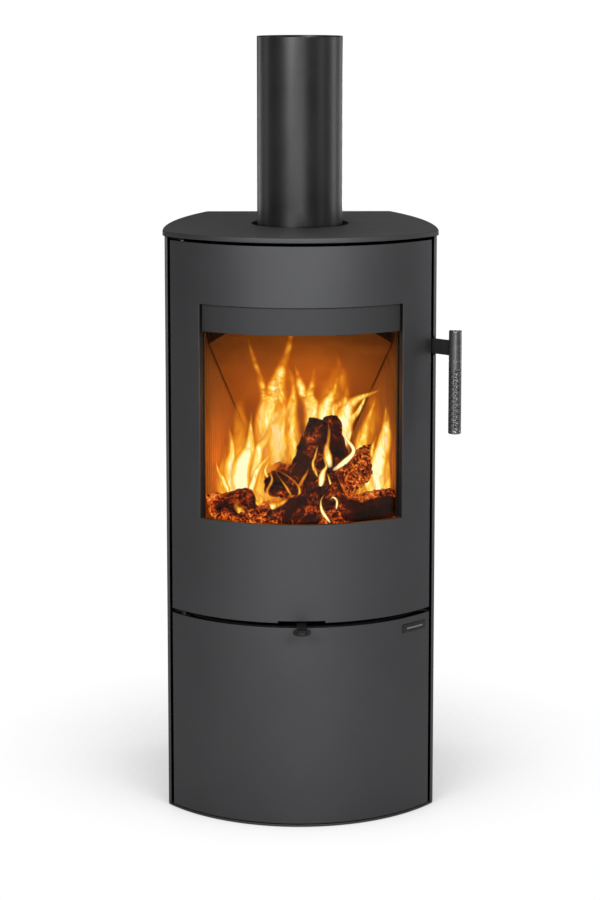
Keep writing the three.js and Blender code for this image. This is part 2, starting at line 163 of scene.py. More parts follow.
PAINT = surface("stove_paint", (0.092, 0.0925, 0.0965), (0.108, 0.1085, 0.113), (0.49, 0.57), 0.90, 1500.0, 0.10, 0.10, 5.0)
# the visor band's paint is a darker copy of the door paint: painted shade on the band where it sits recessed under the
# skin's upper rim
PAINT_BAND_SHADED = surface("band_paint_shaded", (0.068, 0.0685, 0.071), (0.080, 0.0805, 0.084), (0.56, 0.65), 0.85, 1500.0, 0.10, 0.10, 5.0)
PAINT_TOP = surface("plate_paint", (0.052, 0.052, 0.053), (0.068, 0.068, 0.069), (0.50, 0.62), 0.2, 1300.0, 0.12, 0.12, 6.0)
PIPE = surface("pipe_paint", (0.080, 0.080, 0.081), (0.104, 0.104, 0.106), (0.33, 0.42), 0.85, 900.0, 0.16, 0.15, 9.0)
BLACK = surface("black_paint", (0.010, 0.010, 0.010), (0.020, 0.020, 0.020), (0.55, 0.75), 0.1, 900.0, 0.15, 0.15, 9.0, 0.35)
ARM = surface("arm_black", (0.012, 0.012, 0.013), (0.022, 0.022, 0.023), (0.42, 0.55), 0.2, 900.0, 0.10, 0.10, 12.0, 0.4)
KNOB = surface("knob_black", (0.020, 0.020, 0.021), (0.034, 0.034, 0.035), (0.22, 0.32), 0.6, 900.0, 0.06, 0.06, 18.0, 0.5)
SHEET = surface("inner_sheet", (0.030, 0.030, 0.031), (0.050, 0.049, 0.048), (0.5, 0.7), 0.4, 500.0, 0.15, 0.2, 8.0)
CAST = surface("cast_iron", (0.016, 0.015, 0.015), (0.035, 0.033, 0.031), (0.65, 0.85), 0.5, 240.0, 0.4, 0.6, 14.0)
STEEL = surface("turned_steel", (0.30, 0.30, 0.30), (0.42, 0.42, 0.42), (0.28, 0.40), 0.9, 400.0, 0.05, 0.08, 30.0, 0.5, (1, 1, 6))
GRIPM = surface("grip_steel", (0.20, 0.20, 0.204), (0.235, 0.235, 0.239), (0.25, 0.29), 0.95, 900.0, 0.02, 0.04, 18.0, 0.5, (1, 1, 4))
ROPE = surface("glass_rope", (0.040, 0.037, 0.032), (0.095, 0.088, 0.078), (0.9, 1.0), 0.0, 420.0, 0.8, 0.9, 60.0, 0.2, (1, 1, 1))
GASKET = surface("flat_gasket", (0.012, 0.012, 0.011), (0.03, 0.028, 0.026), (0.9, 1.0), 0.0, 600.0, 0.5, 0.4, 60.0, 0.2)
FERRITE = surface("magnet_body", (0.02, 0.02, 0.021), (0.035, 0.035, 0.036), (0.5, 0.65), 0.0, 500.0, 0.2, 0.2, 20.0)
BADGE = surface("badge_metal", (0.006, 0.006, 0.006), (0.011, 0.011, 0.011), (0.30, 0.38), 0.0, 700.0, 0.05, 0.05, 60.0, 0.5, (6, 1, 1))


def brick_extra(nt, co, p, col, bump):
    # soot rises: darker towards the top, warm where the fire licks it
    sep = nt.nodes.new("ShaderNodeSeparateXYZ")
    link(nt, co, sep.inputs[0])
    up = nt.nodes.new("ShaderNodeMapRange")
    up.inputs["From Min"].default_value = 0.58
    up.inputs["From Max"].default_value = 0.86
    link(nt, sep.outputs["Z"], up.inputs["Value"])
    cloud = noise_tex(nt, co, 9.0, 5.0, 0.6, 0.6)
    fac = mathn(nt, "MULTIPLY", up.outputs[0], mathn(nt, "MULTIPLY", cloud, 1.5), True)
    mx = nt.nodes.new("ShaderNodeMix")
    mx.data_type = "RGBA"
    mx.inputs["B"].default_value = (0.100, 0.036, 0.006, 1)
    link(nt, fac, mx.inputs["Factor"])
    link(nt, col.outputs["Color"], mx.inputs["A"])
    link(nt, mx.outputs["Result"], p.inputs["Base Color"])


BRICK = surface("fire_board", (0.26, 0.105, 0.017), (0.35, 0.150, 0.027), (0.88, 0.97), 0.0, 160.0, 0.22, 0.6, 16.0, 0.15,
                extra=brick_extra)


def glass_material():
    m, nt, out = new_mat("ceramic_glass")
    tr = node(nt, "BsdfTransparent")
    tr.inputs["Color"].default_value = (0.975, 0.95, 0.91, 1)
    gl = node(nt, "BsdfGlossy")
    gl.inputs["Color"].default_value = (1, 1, 1, 1)
    gl.inputs["Roughness"].default_value = 0.04
    co = nt.nodes.new("ShaderNodeTexCoord").outputs["Object"]
    haze = noise_tex(nt, co, 14.0, 4.0, 0.6)
    fr = nt.nodes.new("ShaderNodeFresnel")
    fr.inputs["IOR"].default_value = 1.45
    fac = mathn(nt, "MULTIPLY", fr.outputs[0], mathn(nt, "ADD", 0.10, mathn(nt, "MULTIPLY", haze, 0.12)), True)
    mix = nt.nodes.new("ShaderNodeMixShader")
    link(nt, fac, mix.inputs[0])
    link(nt, tr.outputs[0], mix.inputs[1])
    link(nt, gl.outputs[0], mix.inputs[2])
    link(nt, mix.outputs[0], out.inputs["Surface"])
    return m


def frame_visor_shadow(nt, co, p, col, bump):
    # painted shadow: above z 0.838-0.852 the frame's colour fades to near-black, where the visor band shades the window
    # reveal
    sep = nt.nodes.new("ShaderNodeSeparateXYZ")
    link(nt, co, sep.inputs[0])
    up = nt.nodes.new("ShaderNodeMapRange")
    up.inputs["From Min"].default_value = 0.838
    up.inputs["From Max"].default_value = 0.852
    link(nt, sep.outputs["Z"], up.inputs["Value"])
    mx = nt.nodes.new("ShaderNodeMix")
    mx.data_type = "RGBA"
    mx.inputs["B"].default_value = (0.004, 0.004, 0.004, 1)
    link(nt, up.outputs[0], mx.inputs["Factor"])
    link(nt, col.outputs["Color"], mx.inputs["A"])
    link(nt, mx.outputs["Result"], p.inputs["Base Color"])


# the frame paint is kept very dark, darker than the door paint, as painted shade in the reveal beside the glass
FRAME = surface("door_frame_paint", (0.020, 0.021, 0.022), (0.030, 0.031, 0.032), (0.5, 0.65), 0.6, 600.0, 0.12, 0.15, 8.0,
                extra=frame_visor_shadow)
GLASS = glass_material()


# ------------------------------------------------------------------ mesh tools
def finish_mesh(me, angle=40, bevel=None, seg=2):
    bm = bmesh.new()
    bm.from_mesh(me)
    bmesh.ops.remove_doubles(bm, verts=bm.verts, dist=1e-6)
    loose = [v for v in bm.verts if not v.link_faces]
    bmesh.ops.delete(bm, geom=loose, context="VERTS")
    bmesh.ops.recalc_face_normals(bm, faces=bm.faces)
    if bevel:
        edges = [e for e in bm.edges if len(e.link_faces) == 2 and e.calc_face_angle(0) > 30 * D2R]
        bmesh.ops.bevel(bm, geom=edges, offset=bevel, segments=seg, profile=0.5, affect="EDGES", clamp_overlap=True)
    bm.to_mesh(me)
    bm.free()
    me.shade_smooth()
    me.set_sharp_from_angle(angle=angle * D2R)


def place(name, me, mat, body, replaces=(), weighted=True):
    o = bpy.data.objects.new(name, me)
    scene.collection.objects.link(o)
    me.materials.clear()
    me.materials.append(mat)
    if weighted:
        w = o.modifiers.new("normals", "WEIGHTED_NORMAL")
        w.keep_sharp = True
    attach(o, body)
    if replaces:
        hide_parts(*replaces)
    return o


def grid_plate(name, outer, inner, zs, keep, mat, body, replaces=(), bevel=None, slot=None, angle=50):
    """A bent plate: two plan paths of the same length raised through zs; keep(i, j) says which cells exist."""
    n, k = len(outer), len(zs)
    verts = [(x, y, z) for (x, y) in outer for z in zs] + [(x, y, z) for (x, y) in inner for z in zs]
    off = n * k
    o = lambda i, j: i * k + j
    q = lambda i, j: off + i * k + j
    there = {(i, j) for i in range(n - 1) for j in range(k - 1) if keep(i, j)}
    faces = []
    for i, j in there:
        faces.append((o(i, j), o(i + 1, j), o(i + 1, j + 1), o(i, j + 1)))
        faces.append((q(i, j), q(i, j + 1), q(i + 1, j + 1), q(i + 1, j)))
        for di, dj, a, b in ((-1, 0, (i, j), (i, j + 1)), (1, 0, (i + 1, j), (i + 1, j + 1)),
                             (0, -1, (i, j), (i + 1, j)), (0, 1, (i, j + 1), (i + 1, j + 1))):
            if (i + di, j + dj) not in there:
                faces.append((o(*a), o(*b), q(*b), q(*a)))
    me = bpy.data.meshes.new(name)
    me.from_pydata(verts, [], faces)
    finish_mesh(me, angle, bevel)
    return place(name, me, mat, body, replaces)


def arc_plate(name, r0, r1, angles, zs, keep, *rest, **kw):
    return grid_plate(name, [at(r1, a) for a in angles], [at(r0, a) for a in angles], zs, keep, *rest, **kw)


def ring_mesh(name, outline, hole, z0, z1, mat, body, replaces=(), bevel=None):
    n = len(outline)
    verts = [(*p, z0) for p in outline] + [(*p, z1) for p in outline] + [(*p, z0) for p in hole] + [(*p, z1) for p in hole]
    faces = []
    for i in range(n):
        j = (i + 1) % n
        faces += [(i, j, n + j, n + i), (n + i, n + j, 3 * n + j, 3 * n + i),
                  (3 * n + i, 3 * n + j, 2 * n + j, 2 * n + i), (2 * n + i, 2 * n + j, j, i)]
    me = bpy.data.meshes.new(name)
    me.from_pydata(verts, [], faces)
    finish_mesh(me, 50, bevel)
    return place(name, me, mat, body, replaces)


def lathe(name, profile, centre, mat, body, replaces=(), n=64, angle=45, axis=None):
    """profile [(r, z), ...] from axis to axis, turned about a vertical line through centre."""
    verts, faces, rows = [], [], []
    for r, z in profile:
        if r < 1e-7:
            rows.append([len(verts)])
            verts.append((centre[0], centre[1], z))
        else:
            row = []
            for i in range(n):
                a = 2 * math.pi * i / n
                row.append(len(verts))
                verts.append((centre[0] + r * math.cos(a), centre[1] + r * math.sin(a), z))
            rows.append(row)
    for a, b in zip(rows, rows[1:]):
        for i in range(n):
            j = (i + 1) % n
            if len(a) == 1:
                faces.append((a[0], b[i], b[j]))
            elif len(b) == 1:
                faces.append((a[i], a[j], b[0]))
            else:
                faces.append((a[i], a[j], b[j], b[i]))
    me = bpy.data.meshes.new(name)
    me.from_pydata(verts, [], faces)
    if axis:
        me.transform(axis)
    finish_mesh(me, angle)
    return place(name, me, mat, body, replaces)


# ------------------------------------------------------------------ shell
ALL = lambda i, j: True
W = 35.9
z_door = [0.3585, 0.362, 0.45, 0.528, 0.62, 0.71, 0.80, 0.8965, 0.95, 0.9995]
notch = math.degrees(math.asin(0.040 / 0.294))
angs = spread(-49.18, 49.18, 1.5, (-W, W, -notch, notch))


def keep_door(i, j):
    a = (angs[i] + angs[i + 1]) / 2
    z = (z_door[j] + z_door[j + 1]) / 2
    if abs(a) < W and 0.528 < z < 0.8965:
        return False
    return not (abs(a) < notch and z < 0.362)


arc_plate("vis_door_skin", 0.291, 0.294, angs, z_door, keep_door, PAINT, "main_door", ("door_skin",), bevel=0.0007)
angs_l = spread(-49.18, 49.18, 1.5)
arc_plate("vis_lower_skin", 0.291, 0.294, angs_l, [0.006, 0.12, 0.235, 0.3505], ALL, PAINT, "lower_door",
          ("lower_door_skin",), bevel=0.0007)
arc_plate("vis_visor", 0.284, 0.2865, spread(-35.75, 35.75, 1.5), [0.849, 0.88, 0.9106], ALL, PAINT_BAND_SHADED, "main_door",
          ("visor_band",), bevel=0.0006)
arc_plate("vis_glass", 0.277, 0.281, spread(-40, 40, 1.5), [0.508, 0.65, 0.78, 0.920], ALL, GLASS, "main_door",
          ("door_glass",), bevel=0.0008)

# door frame behind the skin: its inner edge is the window's reveal
fa = spread(-43.2, 46.5, 1.5, (-W - 0.05, W + 0.05))
fz = [0.364, 0.45, 0.5275, 0.65, 0.78, 0.911, 0.95, 0.992]
arc_plate("vis_door_frame", 0.283, 0.2906, fa, fz,
          lambda i, j: not (abs((fa[i] + fa[i + 1]) / 2) < W + 0.05 and 0.5275 < (fz[j] + fz[j + 1]) / 2 < 0.911),
          FRAME, "main_door", ("door_frame",), bevel=0.0005)
la = spread(-43.2, 46.5, 1.5, (-38, 41))
lz = [0.012, 0.034, 0.13, 0.23, 0.324, 0.346]
arc_plate("vis_lower_frame", 0.279, 0.2906, la, lz,
          lambda i, j: not (-38 < (la[i] + la[i + 1]) / 2 < 41 and 0.034 < (lz[j] + lz[j + 1]) / 2 < 0.324),
          SHEET, "lower_door", ("lower_door_frame",), bevel=0.0008)
ca = spread(-44.5, 44.5, 1.5, (-41, 41))
cz = [0.390, 0.404, 0.58, 0.76, 0.934, 0.948]
arc_plate("vis_seal_channel", 0.268, 0.2827, ca, cz,
          lambda i, j: not (abs((ca[i] + ca[i + 1]) / 2) < 41 and 0.404 < (cz[j] + cz[j + 1]) / 2 < 0.934),
          BLACK, "main_door", ("seal_channel",), bevel=0.0008)
ga = spread(-39.8, 39.8, 1.5, (-36.4, 36.4))
gz = [0.509, 0.525, 0.65, 0.78, 0.913, 0.919]
arc_plate("vis_gasket", 0.2813, 0.2827, ga, gz,
          lambda i, j: not (abs((ga[i] + ga[i + 1]) / 2) < 36.4 and 0.525 < (gz[j] + gz[j + 1]) / 2 < 0.913),
          GASKET, "main_door", ("glass_gasket",))
ra = spread(-44, 44, 1.5, (-41.5, 41.5))
rz = [0.393, 0.401, 0.58, 0.76, 0.937, 0.945]
arc_plate("vis_rope_seal", 0.2584, 0.2676, ra, rz,
          lambda i, j: not (abs((ra[i] + ra[i + 1]) / 2) < 41.5 and 0.401 < (rz[j] + rz[j + 1]) / 2 < 0.937),
          ROPE, "main_door", ("door_rope_seal",), bevel=0.0028)
# fixed front frame of the firebox
ffa = spread(-53, 53, 1.5, (-40, 40, -25.45, 25.45))
ffz = [0.385, 0.4034, 0.476, 0.510, 0.65, 0.79, 0.930, 0.975]


def keep_front(i, j):
    a = (ffa[i] + ffa[i + 1]) / 2
    z = (ffz[j] + ffz[j + 1]) / 2
    return not ((abs(a) < 40 and 0.510 < z < 0.930) or (abs(a) < 25.45 and 0.4034 < z < 0.476))


arc_plate("vis_front_frame", 0.254, 0.258, ffa, ffz, keep_front, SHEET, "stove_body", ("firebox_front_frame",),
          bevel=0.0007)

# side panels
ys = spread(-0.1105, 0.2157, 0.012, (-0.100,))
for s, side in ((-1, "left"), (1, "right")):
    zz = [0.0043, 0.2, 0.4, 0.6, 0.800, 0.832, 0.92, 1.0047]
    grid_plate(
        "vis_side_" + side,
        [(s * side_x(0.6745, y), y) for y in ys],
        [(s * side_x(0.6695, y), y) for y in ys],
        zz,
        (lambda i, j: not (ys[i + 1] <= -0.0999 and abs(zz[j] - 0.800) < 1e-6)) if s > 0 else ALL,
        PAINT, "stove_body", ("side_panel_" + side,), bevel=0.0009,
    )


def plan(r_front, r_side, y_back, fillet):
    """Outline of the top and base plates: front arc, small corner arcs, side arcs, straight back."""
    yc = -0.13
    for _ in range(60):
        yc = YC - math.sqrt(r_front**2 - side_x(r_side, yc) ** 2)
    corner = Vector((side_x(r_side, yc), yc))
    a = math.degrees(math.atan2(corner.x, YC - corner.y))
    da = math.degrees(fillet / r_front)
    front = [Vector(at(r_front, -(a - da) + 2 * (a - da) * i / 64)) for i in range(65)]
    p0, p1 = Vector(at(r_front, a - da)), Vector((side_x(r_side, yc + fillet), yc + fillet))
    right = []
    for i in range(1, 9):
        t = i / 8
        right.append(p0.lerp(corner, t).lerp(corner.lerp(p1, t), t))
    n = 40
    for i in range(1, n + 1):
        y = yc + fillet + (y_back - yc - fillet) * i / n
        right.append(Vector((side_x(r_side, y), y)))
    back = [Vector((right[-1].x * (1 - 2 * i / 16), y_back)) for i in range(1, 16)]
    left = [Vector((-p.x, p.y)) for p in reversed(right)]
    return front + right + back + left


out = plan(0.297, 0.678, 0.2235, 0.008)
flue = Vector((0, 0.0235))
hole = []
for p in out:
    d = (p - flue).normalized()
    hole.append(flue + d * 0.0855)
plate = ring_mesh("vis_top_plate", out, hole, 1.005, 1.0135, PAINT_TOP, "stove_body", ("top_plate",), bevel=0.0012)
# the plate's side faces take the lighter door paint instead of the darker plate paint: a painted highlight along the
# plate's edges
plate.data.materials.append(PAINT)
for f in plate.data.polygons:
    if abs(f.normal.z) < 0.8 and math.hypot(f.center.x, f.center.y - 0.0235) > 0.1:
        f.material_index = 1
bo = plan(0.293, 0.6745, 0.220, 0.006)
bh = []
for p in bo:
    d = (p - flue).normalized()
    bh.append(flue + d * 0.001)


def slab(name, outline, z0, z1, mat, body, replaces=(), bevel=None, xform=None):
    n = len(outline)
    verts = [(*p, z0) for p in outline] + [(*p, z1) for p in outline]
    faces = [tuple(range(n)), tuple(range(n, 2 * n))]
    faces += [(i, (i + 1) % n, n + (i + 1) % n, n + i) for i in range(n)]
    me = bpy.data.meshes.new(name)
    me.from_pydata(verts, [], faces)
    if xform:
        me.transform(xform)
    finish_mesh(me, 50, bevel)
    return place(name, me, mat, body, replaces)


slab("vis_base_plate", bo, 0.0, 0.004, PAINT, "stove_body", ("base_plate",), bevel=0.0006)


def circle_ring(name, r0, r1, z0, z1, mat, body, replaces, bevel):
    n = 128
    c = [(math.cos(2 * math.pi * i / n), math.sin(2 * math.pi * i / n)) for i in range(n)]
    return ring_mesh(name, [(x * r1, 0.0235 + y * r1) for x, y in c], [(x * r0, 0.0235 + y * r0) for x, y in c], z0, z1,
                     mat, body, replaces, bevel)


circle_ring("vis_flue_pipe", 0.073, 0.075, 0.9623, 1.340, PIPE, "stove_body", ("flue_pipe",), 0.0006)
circle_ring("vis_flue_collar", 0.0758, 0.079, 0.9623, 1.000, BLACK, "stove_body", ("flue_collar",), 0.0006)

# back panel with screws round its edge
bp = [(-0.17, 0.216), (0.17, 0.216), (0.17, 0.220), (-0.17, 0.220)]
n = 96
bl, bz = [], []
me = bpy.data.meshes.new("vis_back_panel")
hv, sq = [], []
for i in range(n):
    a = 2 * math.pi * (i + 0.5) / n
    c, s = math.cos(a), math.sin(a)
    hv.append((0.0253 * c, 0.372 + 0.0253 * s))
    lim = []
    if abs(c) > 1e-9:
        lim.append((0.17 if c > 0 else -0.17) / c)
    lim.append(((1.0047 - 0.372) if s > 0 else (0.0043 - 0.372)) / s)
    t = min(v for v in lim if v > 0)
    sq.append((t * c, 0.372 + t * s))
# put the four corners in exactly
for cx, cz_ in ((-0.17, 0.0043), (0.17, 0.0043), (0.17, 1.0047), (-0.17, 1.0047)):
    k = min(range(n), key=lambda i: (sq[i][0] - cx) ** 2 + (sq[i][1] - cz_) ** 2)
    sq[k] = (cx, cz_)
verts = [(x, 0.216, z) for x, z in sq] + [(x, 0.220, z) for x, z in sq] + [(x, 0.216, z) for x, z in hv] + [(x, 0.220, z) for x, z in hv]
faces = []
for i in range(n):
    j = (i + 1) % n
    faces += [(i, j, n + j, n + i), (n + i, n + j, 3 * n + j, 3 * n + i),
              (3 * n + i, 3 * n + j, 2 * n + j, 2 * n + i), (2 * n + i, 2 * n + j, j, i)]
me.from_pydata(verts, [], faces)
finish_mesh(me, 50, 0.0007)
place("vis_back_panel", me, PAINT, "stove_body", ("back_panel",))


def screw(name, x, z):
    prof = [(0, 0.0), (0.0052, 0.0), (0.0052, 0.0006), (0.0046, 0.0016), (0.0030, 0.0023), (0.0016, 0.0025),
            (0.0015, 0.0014), (0, 0.0014)]
    rot = Matrix.Translation((x, 0.22003, z)) @ Matrix.Rotation(-math.pi / 2, 4, "X")
    lathe(name, prof, (0, 0), STEEL, "stove_body", n=28, axis=rot)


for i, (x, z) in enumerate([(sx * 0.155, zz) for sx in (-1, 1) for zz in (0.03, 0.27, 0.51, 0.75, 0.985)]):
    screw(f"back_screw_{i+1}", x, z)

# ------------------------------------------------------------------ handle, knob, badge, hardware
def grip_mesh():
    z0, z1, R = 0.669, 0.847, 0.011
    n, m = 72, 420
    pitch = 0.0105
    rows, verts, faces = [], [], []

    def radius(th, z):
        r = R
        e = min(z - z0, z1 - z)
        if e < 0.0018:
            r -= 0.0018 - math.sqrt(max(0.0, 0.0018**2 - (0.0018 - e) ** 2))
        if abs(z - (z1 - 0.052)) < 0.0006:
            r -= 0.0004
        top = z1 - 0.066
        if z0 + 0.004 < z < top:
            # short notches cut in from the left and from the right by turns
            side = math.cos(th)
            fade = min(1.0, (z - z0 - 0.004) / 0.003, (top - z) / 0.003)
            for sgn, phase in ((1, 0.0), (-1, 0.5)):
                w = min(1.0, max(0.0, (sgn * side + 0.30) / 0.22)) * min(1.0, max(0.0, (0.97 - abs(side)) / 0.16))
                d = abs(((z - z0) / pitch + phase) % 1.0 - 0.5) * pitch
                if d < 0.0024:
                    r -= 0.0015 * fade * w * min(1.0, (0.0024 - d) / 0.0009)
        return r

    bot, topv = len(verts), None
    verts.append((GRIP[0], GRIP[1], z0))
    for k in range(m + 1):
        z = z0 + (z1 - z0) * k / m
        row = []
        for i in range(n):
            th = 2 * math.pi * i / n
            r = radius(th, min(max(z, z0 + 1e-5), z1 - 1e-5))
            row.append(len(verts))
            verts.append((GRIP[0] + r * math.cos(th), GRIP[1] + r * math.sin(th), z))
        rows.append(row)
    topv = len(verts)
    verts.append((GRIP[0], GRIP[1], z1))
    for i in range(n):
        j = (i + 1) % n
        faces.append((bot, rows[0][j], rows[0][i]))
        faces.append((topv, rows[-1][i], rows[-1][j]))
        for a, b in zip(rows, rows[1:]):
            faces.append((a[i], a[j], b[j], b[i]))
    me = bpy.data.meshes.new("vis_grip")
    me.from_pydata(verts, [], faces)
    finish_mesh(me, 60)
    return me


place("vis_grip", grip_mesh(), GRIPM, "handle", ("handle_grip",))

arm_a = math.atan2(GRIP[1] - LATCH[1], GRIP[0] - LATCH[0])
reach = math.hypot(GRIP[0] - LATCH[0], GRIP[1] - LATCH[1])
# arm: flat bar with a round eye on the shaft
outline = []
hub, half = 0.0062, 0.002
a0 = math.asin(half / hub)
for i in range(33):
    a = a0 + (2 * math.pi - 2 * a0) * i / 32
    outline.append((hub * math.cos(a), hub * math.sin(a)))
outline += [(reach - 0.0105, -half), (reach - 0.0105, half)]
eye = []
for i in range(len(outline)):
    if i < 33:
        a = a0 + (2 * math.pi - 2 * a0) * i / 32
    else:
        a = -a0 / 2 if i == 33 else a0 / 2
    eye.append((0.0038 * math.cos(a), 0.0038 * math.sin(a)))
c, s = math.cos(arm_a), math.sin(arm_a)
turn = lambda p: (LATCH[0] + p[0] * c - p[1] * s, LATCH[1] + p[0] * s + p[1] * c)
ring_mesh("vis_arm", [turn(p) for p in outline], [turn(p) for p in eye], 0.803, 0.829, ARM, "handle", ("handle_arm",),
          bevel=0.0005)

KY = -0.260
lathe("vis_knob",
      [(0, 0.3515), (0.0135, 0.3515), (0.0147, 0.3519), (0.0150, 0.3527), (0.0150, 0.3560), (0.0146, 0.3569),
       (0.0136, 0.3575), (0.0118, 0.3575), (0.0110, 0.3571), (0.0092, 0.3562), (0.0070, 0.3558), (0, 0.3557)],
      (0, KY), KNOB, "air_control", ("air_knob",), n=72, angle=35)

ba = spread(36.3, 47.0, 1.0)
arc_plate("vis_badge", 0.29425, 0.2954, ba, [0.324, 0.3315, 0.339], ALL, BADGE, "lower_door", ("badge_plate",),
          bevel=0.0004)
arc_plate("vis_badge_bar", 0.2954, 0.2957, spread(38.0, 45.3, 0.8), [0.3303, 0.3327], ALL, STEEL, "lower_door",
          slot="badge_plate", bevel=0.0001)

# ------------------------------------------------------------------ fire lining with fine upright grooves
def brick_x(y):
    return 0.163 - (63.5 / 230) * (y + 0.060)


for s, side in ((-1, "left"), (1, "right")):
    path_in, path_out = [], []
    y0, y1 = -0.075, 0.187
    pitch = 0.0118
    k = 22
    start = y0 + 0.0012
    pts = [y0]
    dep = {y0: 0.0}
    prof = [(0.0, 0.0), (0.0010, 0.0018), (0.0030, 0.0022), (0.0050, 0.0018), (0.0060, 0.0)]
    lst = [(y0, 0.0)]
    for g in range(k):
        for dy, d in prof:
            y = start + g * pitch + dy
            if y < y1 - 0.001:
                lst.append((y, d))
    lst.append((y1, 0.0))
    inn = [(s * (brick_x(y) + d), y) for y, d in lst]
    outp = [(s * (brick_x(y) + 0.016), y) for y, d in lst]
    grid_plate("vis_brick_" + side, inn, outp, [0.4903, 0.6, 0.7, 0.8, 0.905], ALL, BRICK, "stove_body",
               ("brick_" + side,), angle=25)

# ------------------------------------------------------------------ CAD nodes that stay, with better finishes
KEEP = {
    SHEET: ["firebox_top", "firebox_side_left", "firebox_side_right", "firebox_back", "firebox_floor", "ash_floor",
            "mid_shelf", "support_left", "support_right", "primary_air_box", "air_duct", "glass_retainer_top",
            "glass_retainer_bottom", "ash_pan"],
    BLACK: ["hinge_bracket_top", "hinge_bracket_middle", "catch_bracket", "main_hinge_block_top",
            "main_hinge_block_bottom", "latch_bracket", "lower_hinge_block_top", "lower_hinge_block_bottom",
            "air_slide"],
    STEEL: ["hinge_pin_top", "hinge_pin_middle", "hinge_pin_bottom", "latch_keeper", "latch_shaft", "strike_plate"],
    BRICK: ["brick_back", "brick_floor", "baffle"],
    CAST: ["grate"],
    FERRITE: ["magnet_catch"],
}
for m, names in KEEP.items():
    for nme in names:
        o = NODES[nme]
        for sl in o.material_slots:
            sl.material = m
        if not o.material_slots:
            o.data.materials.append(m)
        bv = o.modifiers.new("edge", "BEVEL")
        bv.width = 0.0006
        bv.segments = 2
        bv.limit_method = "ANGLE"
        bv.angle_limit = 50 * D2R
        wn = o.modifiers.new("normals", "WEIGHTED_NORMAL")

# ------------------------------------------------------------------ the fire: embers, logs and flames, contents of the firebox
def charred(name, glow, red=0.0, crack_scale=26.0, stretch=(1, 1, 1), tint=(0.0075, 0.0045, 0.003)):
    m, nt, out = new_mat(name)
    co = nt.nodes.new("ShaderNodeTexCoord").outputs["Object"]
    mp = nt.nodes.new("ShaderNodeMapping")
    mp.inputs["Scale"].default_value = stretch
    link(nt, co, mp.inputs["Vector"])
    wob = nt.nodes.new("ShaderNodeTexNoise")
    wob.inputs["Scale"].default_value = 60
    wob.inputs["Detail"].default_value = 5
    link(nt, mp.outputs[0], wob.inputs["Vector"])
    sc = nt.nodes.new("ShaderNodeVectorMath")
    sc.operation = "SCALE"
    sc.inputs["Scale"].default_value = 0.030
    link(nt, wob.outputs["Color"], sc.inputs[0])
    ad = nt.nodes.new("ShaderNodeVectorMath")
    ad.operation = "ADD"
    link(nt, mp.outputs[0], ad.inputs[0])
    link(nt, sc.outputs[0], ad.inputs[1])
    vo = nt.nodes.new("ShaderNodeTexVoronoi")
    vo.feature = "DISTANCE_TO_EDGE"
    vo.inputs["Scale"].default_value = crack_scale * 4.2
    link(nt, ad.outputs[0], vo.inputs["Vector"])
    p = nt.nodes.new("ShaderNodeBsdfPrincipled")
    p.inputs["Roughness"].default_value = 0.88
    p.inputs["Specular IOR Level"].default_value = 0.06
    patch = noise_tex(nt, co, 22.0, 4.0, 0.6, 0.4)
    ash = noise_tex(nt, co, 110.0, 4.0, 0.65)
    col = ramp(nt, ash, [(0.35, tuple(v * 0.4 for v in tint)), (0.6, tint), (0.85, (0.030, 0.020, 0.013))])
    link(nt, col.outputs["Color"], p.inputs["Base Color"])
    crack = nt.nodes.new("ShaderNodeMapRange")
    crack.inputs["From Min"].default_value = 0.16
    crack.inputs["From Max"].default_value = 0.0
    link(nt, vo.outputs["Distance"], crack.inputs["Value"])
    mask = nt.nodes.new("ShaderNodeMapRange")
    mask.inputs["From Min"].default_value = 0.60 - 0.35 * glow
    mask.inputs["From Max"].default_value = 0.78 - 0.25 * glow
    link(nt, patch, mask.inputs["Value"])
    fine_ = noise_tex(nt, co, 190.0, 4.0, 0.7)
    broken = mathn(nt, "MULTIPLY", mathn(nt, "SUBTRACT", fine_, 0.36), 3.4, True)
    heat = mathn(nt, "MULTIPLY", mathn(nt, "MULTIPLY", crack.outputs[0], broken), mask.outputs[0])
    base_red = mathn(nt, "MULTIPLY", mathn(nt, "MULTIPLY", mathn(nt, "SUBTRACT", patch, 0.30), mathn(nt, "SUBTRACT", ash, 0.25)), red * 3.2, True)
    tot = mathn(nt, "ADD", heat, base_red)
    er = ramp(nt, tot, [(0.0, (0, 0, 0)), (0.14, (0.040, 0.003, 0.0004)), (0.35, (0.50, 0.05, 0.003)),
                        (0.70, (1.0, 0.27, 0.02)), (1.0, (1.0, 0.62, 0.16))])
    link(nt, er.outputs["Color"], p.inputs["Emission Color"])
    p.inputs["Emission Strength"].default_value = 1.0
    b = nt.nodes.new("ShaderNodeBump")
    b.inputs["Strength"].default_value = 0.9
    b.inputs["Distance"].default_value = 0.003
    hsum = mathn(nt, "ADD", mathn(nt, "MULTIPLY", mathn(nt, "MINIMUM", vo.outputs["Distance"], 0.14), 5.0), mathn(nt, "MULTIPLY", ash, 0.7))
    link(nt, hsum, b.inputs["Height"])
    link(nt, b.outputs["Normal"], p.inputs["Normal"])
    link(nt, p.outputs[0], out.inputs["Surface"])
    m.cycles.emission_sampling = "NONE"
    return m


CHAR = charred("char_black", 0.34, 0.50, 24.0)
CHAR_RED = charred("char_red", 0.55, 1.0, 26.0)
CHAR_HOT = charred("char_hot", 1.0, 0.75, 30.0, (1, 1, 0.55))
EMBER = charred("ember_bed", 0.80, 1.15, 20.0)


